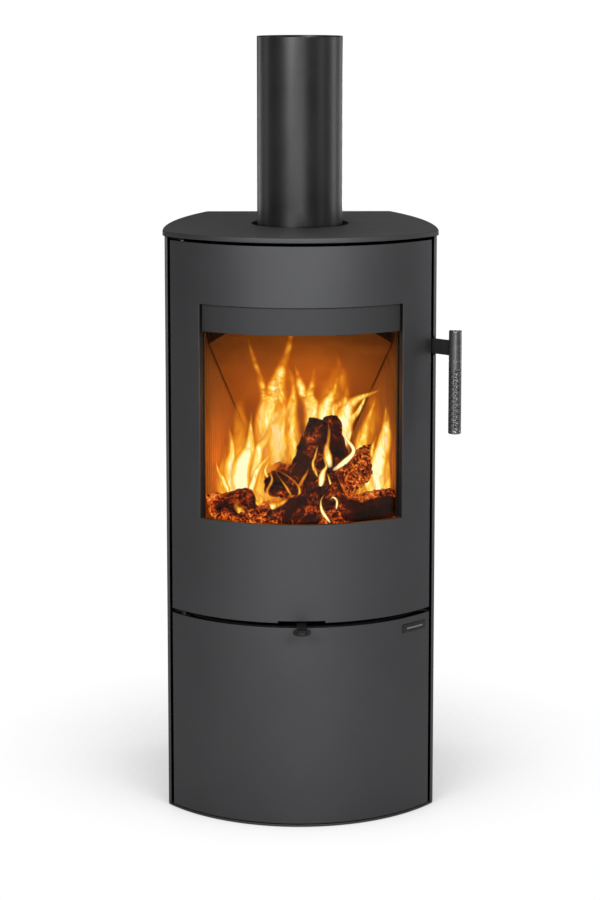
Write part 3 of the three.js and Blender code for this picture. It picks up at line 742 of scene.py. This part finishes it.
def log(name, p0, p1, rad, mat, seed, squash=(1.0, 1.0), facets=0.16, taper=1.0, rough=0.0058, n=80, m=72):
    """A split, charred log: a rough rounded wedge section run from p0 to p1 (mm)."""
    a, b = Vector(p0) / 1000, Vector(p1) / 1000
    d = (b - a).normalized()
    side = d.cross(Vector((0, 1, 0)))
    if side.length < 0.2:
        side = d.cross(Vector((1, 0, 0)))
    side.normalize()
    up = side.cross(d).normalized()
    r = random.Random(seed)
    ph = [r.uniform(0, 6.28) for _ in range(4)]
    off = Vector((r.uniform(-9, 9), r.uniform(-9, 9), r.uniform(-9, 9)))
    verts, faces, rows = [], [], []
    L = (b - a).length
    for k in range(m + 1):
        t = k / m
        end = min(1.0, math.sqrt(max(0.0, 1 - (abs(2 * t - 1)) ** 14)) * 1.0 + 0.0)
        row = []
        for i in range(n):
            th = 2 * math.pi * i / n
            rr = rad / 1000 * (1 + (taper - 1) * t)
            rr *= 1 + facets * math.cos(2 * th + ph[0]) + facets * 0.8 * math.cos(3 * th + ph[1] + 0.5 * t)
            rr *= 0.80 + 0.20 * end
            q = Vector((math.cos(th) * 2.2, math.sin(th) * 2.2, t * L * 22)) + off
            rr += rough * (noise.fractal(q, 0.8, 2.1, 6) + 0.7 * abs(noise.noise(q * 3.1)) - 0.5 * abs(noise.noise(q * 1.4)))
            c = a + d * (L * t) + side * (0.004 * math.sin(3 * t + ph[2])) + up * (0.003 * math.sin(4 * t + ph[3]))
            row.append(len(verts))
            verts.append(c + side * (rr * math.cos(th) * squash[0]) + up * (rr * math.sin(th) * squash[1]))
        rows.append(row)
    for r0, r1 in zip(rows, rows[1:]):
        for i in range(n):
            j = (i + 1) % n
            faces.append((r0[i], r0[j], r1[j], r1[i]))
    # rough end faces: rings running in to a centre
    for row, c0, sgn in ((rows[0], a, -1), (rows[-1], b, 1)):
        prev = row
        cen = sum((Vector(verts[v]) for v in row), Vector()) / n
        for q in (0.72, 0.42, 0.15):
            cur = []
            for i, v in enumerate(row):
                w = cen + (Vector(verts[v]) - cen) * q
                h = noise.fractal(w * 55 + off, 0.9, 2.0, 4)
                cur.append(len(verts))
                verts.append(w + d * sgn * (0.0015 + 0.0022 * h))
            for i in range(n):
                j = (i + 1) % n
                faces.append((prev[i], cur[i], cur[j], prev[j]) if sgn > 0 else (prev[i], prev[j], cur[j], cur[i]))
            prev = cur
        cc = len(verts)
        verts.append(cen + d * sgn * 0.0015)
        for i in range(n):
            j = (i + 1) % n
            faces.append((prev[i], prev[j], cc) if sgn < 0 else (prev[j], prev[i], cc))
    me = bpy.data.meshes.new(name)
    me.from_pydata([tuple(v) for v in verts], [], faces)
    finish_mesh(me, 70)
    return place(name, me, mat, "stove_body", weighted=False)


log("log_upright_left", (-2, -72, 548), (36, -50, 674), 29, CHAR, 3, (1.05, 0.9), 0.12, 0.82)
log("log_upright_right", (72, -78, 592), (58, -62, 684), 17, CHAR_RED, 5, (1.0, 0.9), 0.20, 0.80, n=48, m=44)
log("log_end_grain", (70, -86, 566), (132, -10, 600), 27, CHAR_HOT, 8, (1.0, 1.0), 0.06, 1.0)
log("log_front", (-74, -116, 484), (72, -104, 560), 30, CHAR, 12, (1.0, 0.8), 0.14, 1.15)
log("log_front_right", (48, -116, 522), (176, -96, 516), 27, CHAR, 21, (1.0, 0.9), 0.14, 0.9)
log("log_left_small", (-158, -66, 526), (-84, -84, 548), 14, CHAR_RED, 31, (1.0, 0.9), 0.22, 1.0, n=48, m=44)
log("log_back_round", (-39, -70, 560), (-30, 40, 566), 25, CHAR_RED, 44, (1.0, 1.0), 0.05, 1.0)
log("log_back_cross", (-96, 30, 538), (90, 60, 552), 26, CHAR, 51, (1.0, 1.0), 0.12, 1.0)
log("log_right_ember", (92, -96, 536), (160, -64, 540), 17, CHAR_HOT, 61, (1.0, 0.8), 0.18, 0.9, n=48, m=44)


def ember_bed():
    nx, ny = 110, 84
    x0, x1, y0, y1 = -0.150, 0.150, -0.118, 0.160
    top, bot = [], []
    verts, faces = [], []
    for j in range(ny + 1):
        y = y0 + (y1 - y0) * j / ny
        half = min(x1, brick_x(max(y, -0.075)) - 0.004)
        for i in range(nx + 1):
            u = -1 + 2 * i / nx
            x = half * u
            e = min(1.0, (1 - abs(u)) / 0.10, (j / ny) / 0.10, (1 - j / ny) / 0.10)
            q = Vector((x * 28, y * 28, 3.0))
            h = 0.010 + 0.010 * noise.fractal(q, 0.9, 2.1, 5) + 0.007 * abs(noise.noise(q * 3.0))
            cell = noise.cell(Vector((x * 95, y * 95, 0)))
            h += 0.004 * cell
            verts.append((x, y, 0.5055 + max(0.0012, h * (0.25 + 0.75 * e) + 0.006 * e)))
    off = len(verts)
    for (x, y, z) in verts[:off]:
        verts.append((x, y, 0.5053))
    W_ = nx + 1
    for j in range(ny):
        for i in range(nx):
            a = j * W_ + i
            faces.append((a, a + 1, a + 1 + W_, a + W_))
            faces.append((off + a, off + a + W_, off + a + 1 + W_, off + a + 1))
    for i in range(nx):
        faces.append((i, off + i, off + i + 1, i + 1))
        a = ny * W_ + i
        faces.append((a, a + 1, off + a + 1, off + a))
    for j in range(ny):
        a = j * W_
        faces.append((a, a + W_, off + a + W_, off + a))
        a = j * W_ + nx
        faces.append((a, off + a, off + a + W_, a + W_))
    me = bpy.data.meshes.new("ember_bed")
    me.from_pydata(verts, [], faces)
    finish_mesh(me, 50)
    place("ember_bed", me, EMBER, "stove_body", weighted=False)


ember_bed()


def flame_material():
    m, nt, out = new_mat("flame")
    uv = nt.nodes.new("ShaderNodeUVMap")
    uv.uv_map = "UVMap"
    sep = nt.nodes.new("ShaderNodeSeparateXYZ")
    link(nt, uv.outputs[0], sep.inputs[0])
    at_ = nt.nodes.new("ShaderNodeAttribute")
    at_.attribute_name = "warmth"
    co = nt.nodes.new("ShaderNodeTexCoord").outputs["Object"]
    warp = nt.nodes.new("ShaderNodeTexNoise")
    warp.inputs["Scale"].default_value = 17
    warp.inputs["Detail"].default_value = 2
    link(nt, co, warp.inputs["Vector"])
    wsc = nt.nodes.new("ShaderNodeVectorMath")
    wsc.operation = "SCALE"
    wsc.inputs["Scale"].default_value = 0.035
    link(nt, warp.outputs["Color"], wsc.inputs[0])
    wad = nt.nodes.new("ShaderNodeVectorMath")
    wad.operation = "ADD"
    link(nt, co, wad.inputs[0])
    link(nt, wsc.outputs[0], wad.inputs[1])
    n1 = noise_tex(nt, wad.outputs[0], 1.0, 3.0, 0.55, stretch=(62, 62, 13))
    n2 = noise_tex(nt, wad.outputs[0], 1.0, 3.0, 0.6, stretch=(170, 170, 30))
    fil = mathn(nt, "ADD", mathn(nt, "MULTIPLY", n1, 0.62), mathn(nt, "MULTIPLY", n2, 0.38))
    fr = nt.nodes.new("ShaderNodeMapRange")
    fr.inputs["From Min"].default_value = 0.34
    fr.inputs["From Max"].default_value = 0.66
    fr.inputs["To Min"].default_value = 0.30
    fr.inputs["To Max"].default_value = 1.30
    link(nt, fil, fr.inputs["Value"])
    u = mathn(nt, "SUBTRACT", mathn(nt, "MULTIPLY", sep.outputs["X"], 2.0), 1.0)
    # noise also frays the sides of each tongue
    fray = mathn(nt, "MULTIPLY", mathn(nt, "SUBTRACT", n2, 0.5), 0.9)
    edge = mathn(nt, "SUBTRACT", mathn(nt, "SUBTRACT", 1.0, mathn(nt, "MULTIPLY", u, u)), mathn(nt, "MULTIPLY", mathn(nt, "ABSOLUTE", u), fray), True)
    v = sep.outputs["Y"]
    rise = mathn(nt, "MULTIPLY", mathn(nt, "POWER", v, 0.8), 3.6, True)
    tip = mathn(nt, "SUBTRACT", 1.0, mathn(nt, "POWER", v, 2.6), True)
    I = mathn(nt, "MULTIPLY", at_.outputs["Fac"], mathn(nt, "POWER", edge, 1.25))
    I = mathn(nt, "MULTIPLY", I, mathn(nt, "ADD", 0.30, mathn(nt, "MULTIPLY", tip, 0.85)))
    I = mathn(nt, "MULTIPLY", I, fr.outputs[0])
    col = ramp(nt, I, [(0.0, (0.34, 0.050, 0.001)), (0.24, (0.66, 0.150, 0.004)), (0.46, (0.90, 0.33, 0.014)),
                       (0.66, (1.0, 0.60, 0.055)), (0.84, (1.0, 0.83, 0.22)), (1.0, (1.0, 0.97, 0.62))])
    alpha = mathn(nt, "MULTIPLY", mathn(nt, "MULTIPLY", mathn(nt, "POWER", I, 1.25), 1.35), mathn(nt, "MULTIPLY", rise, mathn(nt, "POWER", tip, 0.5)), True)
    em = nt.nodes.new("ShaderNodeEmission")
    link(nt, col.outputs["Color"], em.inputs["Color"])
    em.inputs["Strength"].default_value = 1.12
    tr = nt.nodes.new("ShaderNodeBsdfTransparent")
    mix = nt.nodes.new("ShaderNodeMixShader")
    link(nt, alpha, mix.inputs[0])
    link(nt, tr.outputs[0], mix.inputs[1])
    link(nt, em.outputs[0], mix.inputs[2])
    link(nt, mix.outputs[0], out.inputs["Surface"])
    m.cycles.emission_sampling = "NONE"
    return m


FLAME = flame_material()


def spline(pts, t):
    """Catmull-Rom through pts at t in 0..1."""
    n = len(pts) - 1
    k = min(int(t * n), n - 1)
    f = t * n - k
    p1, p2 = Vector(pts[k]), Vector(pts[k + 1])
    p0 = Vector(pts[k - 1]) if k > 0 else p1 * 2 - p2
    p3 = Vector(pts[k + 2]) if k + 2 <= n else p2 * 2 - p1
    return 0.5 * ((2 * p1) + (p2 - p0) * f + (2 * p0 - 5 * p1 + 4 * p2 - p3) * f * f + (3 * p1 - p0 - 3 * p2 + p3) * f**3)


def flames(name, tongues, seed):
    """Tongues of flame: (depth y, half width, heat, points x z up the middle), all in mm. Each is a flattened, closed, tapering tube."""
    r = random.Random(seed)
    verts, faces, uvs, heats = [], [], [], []
    n, m = 18, 46
    for y0, w, heat, pts in tongues:
        ph, ph2 = r.uniform(0, 9), r.uniform(0, 9)
        rows = []
        for k in range(m + 1):
            t = k / m
            c = spline(pts, t)
            c2 = spline(pts, min(1.0, t + 0.02))
            c1 = spline(pts, max(0.0, t - 0.02))
            d = (c2 - c1).normalized()
            nrm = Vector((d.y, -d.x))
            width = w * (0.45 + 0.55 * min(1.0, t / 0.22)) * (1 - t) ** 0.75
            width *= 1 + 0.22 * math.sin(7 * t + ph) * (0.3 + t)
            width = max(width, 0.25)
            sway = w * 0.16 * t * math.sin(9 * t + ph2)
            c = c + nrm * sway
            # the tips lean forward under the inclined baffle
            yy = y0 + 5 * math.sin(4 * t + ph) - 0.95 * max(0.0, c.y - 690)
            row = []
            for i in range(n):
                th = 2 * math.pi * i / n
                x = c.x + nrm.x * width * math.cos(th)
                z = c.y + nrm.y * width * math.cos(th)
                row.append(len(verts))
                verts.append((x / 1000, (yy + 0.22 * width * math.sin(th)) / 1000, z / 1000))
                uvs.append((0.5 + 0.5 * math.cos(th), t))
                heats.append(heat)
            rows.append(row)
        for r0, r1 in zip(rows, rows[1:]):
            for i in range(n):
                j = (i + 1) % n
                faces.append((r0[i], r0[j], r1[j], r1[i]))
        faces.append(tuple(reversed(rows[0])))
        faces.append(tuple(rows[-1]))
    me = bpy.data.meshes.new(name)
    me.from_pydata(verts, [], faces)
    lay = me.uv_layers.new(name="UVMap")
    for lp_ in me.loops:
        lay.data[lp_.index].uv = uvs[lp_.vertex_index]
    h = me.attributes.new("warmth", "FLOAT", "POINT")
    for i, val in enumerate(heats):
        h.data[i].value = val
    bm = bmesh.new()
    bm.from_mesh(me)
    bmesh.ops.recalc_face_normals(bm, faces=bm.faces)
    bm.to_mesh(me)
    bm.free()
    me.shade_smooth()
    o = place(name, me, FLAME, "stove_body", weighted=False)
    o.visible_shadow = False
    return o


flames("flames_haze", [
    (60, 66, 0.62, [(-60, 520), (-52, 620), (-40, 700), (-30, 790)]),
    (55, 60, 0.55, [(60, 560), (60, 660), (60, 730), (70, 800)]),
    (10, 54, 0.62, [(-112, 500), (-108, 580), (-104, 640), (-96, 720)]),
    (-8, 46, 0.58, [(112, 500), (118, 590), (122, 660), (124, 740)]),
    (-30, 60, 0.62, [(-60, 496), (-66, 540), (-60, 590), (-58, 650)]),
], 4)
flames("flames_back", [
    (20, 40, 1.0, [(-30, 560), (-46, 648), (-40, 714), (-32, 780), (-14, 872)]),
    (26, 24, 0.86, [(-56, 575), (-66, 655), (-68, 720), (-88, 836)]),
    (15, 26, 0.72, [(-11, 590), (-17, 663), (-13, 722), (-24, 796)]),
    (12, 15, 0.72, [(-34, 600), (-30, 670), (-40, 730), (-34, 800)]),
    (5, 24, 1.02, [(24, 612), (17, 686), (3, 730), (-14, 776)]),
    (0, 22, 0.92, [(35, 620), (24, 693), (16, 724), (26, 778)]),
    (-5, 21, 0.98, [(48, 630), (44, 683), (54, 715), (72, 760)]),
    (-10, 26, 1.25, [(67, 620), (76, 671), (97, 700), (140, 732)]),
    (-15, 16, 1.35, [(76, 616), (84, 658), (102, 686), (120, 724)]),
    (0, 19, 0.90, [(54, 640), (62, 686), (77, 705), (86, 744)]),
    (10, 30, 0.66, [(-40, 562), (-49, 623), (-38, 670), (-49, 722)]),
    (14, 18, 0.66, [(-22, 570), (-10, 615), (-24, 650), (-12, 692)]),
    (-20, 18, 0.85, [(100, 600), (112, 640), (120, 676), (134, 716)]),
], 5)
flames("flames_left", [
    (-20, 34, 0.60, [(-101, 530), (-109, 616), (-101, 653), (-110, 708)]),
    (-50, 27, 1.42, [(-100, 524), (-103, 583), (-91, 628), (-80, 690)]),
    (-45, 20, 0.98, [(-112, 524), (-123, 582), (-118, 622), (-134, 676)]),
    (-55, 8, 1.05, [(-121, 530), (-133, 568), (-144, 586), (-151, 610)]),
    (-60, 10, 1.15, [(-95, 534), (-81, 572), (-71, 596), (-49, 620)]),
    (-40, 18, 0.92, [(-84, 560), (-73, 616), (-60, 640), (-54, 672)]),
    (-30, 20, 0.74, [(-74, 512), (-69, 570), (-77, 610), (-62, 660)]),
    (-25, 22, 0.62, [(-132, 516), (-138, 560), (-132, 600), (-142, 640)]),
    (-60, 14, 1.00, [(-143, 508), (-148, 538), (-137, 548), (-143, 568)]),
    (-85, 17, 0.78, [(-76, 506), (-81, 528), (-70, 541), (-77, 562)]),
    (-85, 15, 0.82, [(-45, 506), (-52, 525), (-33, 535), (-15, 552)]),
    (-90, 16, 0.72, [(-110, 502), (-104, 518), (-112, 530), (-106, 548)]),
    (-66, 9, 0.95, [(-60, 540), (-52, 566), (-62, 590), (-50, 616)]),
], 6)
flames("flames_right", [
    (-50, 27, 1.45, [(137, 520), (133, 575), (141, 612), (146, 656), (152, 706)]),
    (-45, 13, 0.90, [(146, 530), (150, 582), (153, 626), (152, 716)]),
    (-55, 14, 1.10, [(128, 526), (119, 574), (114, 598), (104, 622)]),
    (-48, 16, 1.00, [(143, 550), (134, 593), (127, 616), (133, 652)]),
    (-60, 16, 1.10, [(150, 510), (148, 545), (154, 580), (150, 620)]),
    (-112, 5, 1.0, [(118, 518), (109, 539), (103, 556)]),
], 7)
flames("flames_front", [
    (-96, 7.5, 1.5, [(56, 594), (80, 613), (91, 631), (78, 653), (71, 682)]),
    (-102, 10, 1.00, [(51, 600), (45, 630), (48, 652), (46, 684)]),
    (-120, 8, 1.05, [(33, 568), (38, 594), (43, 610), (37, 632)]),
    (-120, 5, 1.05, [(29, 588), (21, 611), (24, 627), (31, 648)]),
    (-150, 4.2, 1.35, [(50, 516), (36, 535), (34, 551), (40, 566)]),
    (-150, 3.2, 1.25, [(60, 540), (61, 554), (54, 560), (48, 552)]),
    (-120, 5, 0.95, [(66, 552), (55, 569), (49, 583), (44, 600)]),
    (-106, 5.0, 0.66, [(-22, 530), (-4, 549), (-4, 568), (-23, 588), (-52, 606)]),
    (-106, 3.2, 0.55, [(-14, 548), (-25, 567), (-36, 583), (-46, 602)]),
    (-117, 5, 0.62, [(-6, 568), (6, 589), (16, 608)]),
    (-106, 5, 0.62, [(-48, 540), (-58, 560), (-50, 582), (-60, 604)]),
], 8)


def fire_light(name, loc, power, colour, size):
    l = bpy.data.lights.new(name, "POINT")
    l.energy, l.color, l.shadow_soft_size = power, colour, size
    o = bpy.data.objects.new(name, l)
    o.location = [v / 1000 for v in loc]
    scene.collection.objects.link(o)


fire_light("fire_left", (-84, -30, 600), 0.52, (1, 0.40, 0.05), 0.035)
fire_light("fire_right", (118, -50, 600), 0.62, (1, 0.42, 0.06), 0.030)
fire_light("fire_middle", (10, -20, 690), 0.62, (1, 0.40, 0.05), 0.040)
fire_light("fire_front", (0, -150, 620), 0.03, (1, 0.30, 0.05), 0.020)

# ------------------------------------------------------------------ studio
def area(name, loc, target, size, size_y, energy, colour=(1, 1, 1)):
    l = bpy.data.lights.new(name, "AREA")
    l.shape = "RECTANGLE"
    l.size, l.size_y, l.energy, l.color = size, size_y, energy, colour
    o = bpy.data.objects.new(name, l)
    o.location = loc
    o.rotation_mode = "QUATERNION"
    o.rotation_quaternion = (Vector(target) - Vector(loc)).to_track_quat("-Z", "Y")
    scene.collection.objects.link(o)
    return o


LAMPS = [
    ("key_left", (-1.75, -3.9, 2.35), (0, 0, 0.72), 1.2, 1.2, 78.0),
    ("key_right", (1.3, -3.9, 2.35), (0, 0, 0.72), 1.2, 1.2, 72.0),
    ("side_right", (3.2, -1.9, 1.7), (0, 0, 0.75), 0.9, 2.0, 6.0),
    ("rim_right", (3.3, 0.75, 1.3), (0, 0, 0.8), 0.7, 2.2, 15.0),
    ("rim_left", (-3.3, 0.75, 1.3), (0, 0, 0.8), 0.7, 2.2, 5.0),
    ("rim_back_left", (-2.3, 2.7, 0.75), (0, 0, 0.6), 0.8, 1.2, 6.0),
    ("rim_back_right", (2.3, 2.7, 0.75), (0, 0, 0.6), 0.8, 1.2, 6.0),
    ("back", (0.6, 4.4, 0.65), (0, 0, 0.55), 1.6, 1.0, 50.0),
    ("low_front", (0.1, -4.2, 0.75), (0, 0, 0.6), 1.6, 0.8, 11.0),
    ("top", (0, 0.6, 3.6), (0, 0, 0.9), 1.6, 1.6, 32.0),
]
WORLD = 0.015
for lname, lloc, ltar, lsx, lsy, le in LAMPS:
    lamp = area(lname, lloc, ltar, lsx, lsy, le)
    if lname == "key_right":  # the flue keeps its two separate highlights
        skip = bpy.data.collections.new("not_key_right")
        skip.objects.link(bpy.data.objects["vis_flue_pipe"])
        skip.collection_objects[0].light_linking.link_state = "EXCLUDE"
        lamp.light_linking.receiver_collection = skip

world = bpy.data.worlds.new("studio")
scene.world = world
world.use_nodes = True
wt = world.node_tree
wt.nodes.clear()
wo = wt.nodes.new("ShaderNodeOutputWorld")
lp = wt.nodes.new("ShaderNodeLightPath")
b1 = wt.nodes.new("ShaderNodeBackground")
b1.inputs["Color"].default_value = (0.97, 0.985, 1.0, 1)
b1.inputs["Strength"].default_value = WORLD
b2 = wt.nodes.new("ShaderNodeBackground")
b2.inputs["Color"].default_value = (1, 1, 1, 1)
b2.inputs["Strength"].default_value = 1.05
mxs = wt.nodes.new("ShaderNodeMixShader")
wt.links.new(lp.outputs["Is Camera Ray"], mxs.inputs[0])
wt.links.new(b1.outputs[0], mxs.inputs[1])
wt.links.new(b2.outputs[0], mxs.inputs[2])
wt.links.new(mxs.outputs[0], wo.inputs["Surface"])

# pale floor: white in the open, with a soft shadow that lies beside and behind whatever stands on it
fm, fnt, fout = new_mat("pale_floor")
dif = node(fnt, "BsdfDiffuse")
dif.inputs["Color"].default_value = (0.80, 0.80, 0.80, 1)
em = node(fnt, "Emission")
em.inputs["Color"].default_value = (1, 1, 1, 1)
flp = fnt.nodes.new("ShaderNodeLightPath")
ao = fnt.nodes.new("ShaderNodeAmbientOcclusion")
ao.samples = 12
ao.inputs["Distance"].default_value = 0.70
tilt = fnt.nodes.new("ShaderNodeCombineXYZ")
tilt.inputs[1].default_value = -0.48
tilt.inputs[2].default_value = 0.877
link(fnt, tilt.outputs[0], ao.inputs["Normal"])
fr_ = fnt.nodes.new("ShaderNodeMapRange")
fr_.inputs["From Min"].default_value = 0.56
fr_.inputs["From Max"].default_value = 0.89
fr_.inputs["To Min"].default_value = 0.62
fr_.inputs["To Max"].default_value = 1.02
link(fnt, ao.outputs["AO"], fr_.inputs["Value"])
link(fnt, fr_.outputs[0], em.inputs["Strength"])
mfl = fnt.nodes.new("ShaderNodeMixShader")
link(fnt, flp.outputs["Is Camera Ray"], mfl.inputs[0])
link(fnt, dif.outputs[0], mfl.inputs[1])
link(fnt, em.outputs[0], mfl.inputs[2])
link(fnt, mfl.outputs[0], fout.inputs["Surface"])
fm.cycles.emission_sampling = "NONE"
fme = bpy.data.meshes.new("floor")
S = 60.0
fme.from_pydata([(-S, -S, 0), (S, -S, 0), (S, S, 0), (-S, S, 0)], [], [(0, 1, 2, 3)])
fo = bpy.data.objects.new("floor", fme)
fme.materials.append(fm)
scene.collection.objects.link(fo)
fo.location.z = -0.0005

cam = bpy.data.cameras.new("camera")
co = bpy.data.objects.new("camera", cam)
scene.collection.objects.link(co)
co.location = (-0.048, -3.950, 1.440)
co.rotation_euler = (math.radians(90 - 7.548), 0, -0.0126)
cam.sensor_width = 36
cam.lens = 2272.7 * 36 / 900
cam.shift_x, cam.shift_y = -0.00115, -0.19
cam.clip_start, cam.clip_end = 0.05, 300
scene.camera = co
scene.view_settings.view_transform = "Standard"
scene.view_settings.look = "None"
scene.cycles.transparent_max_bounces = 64
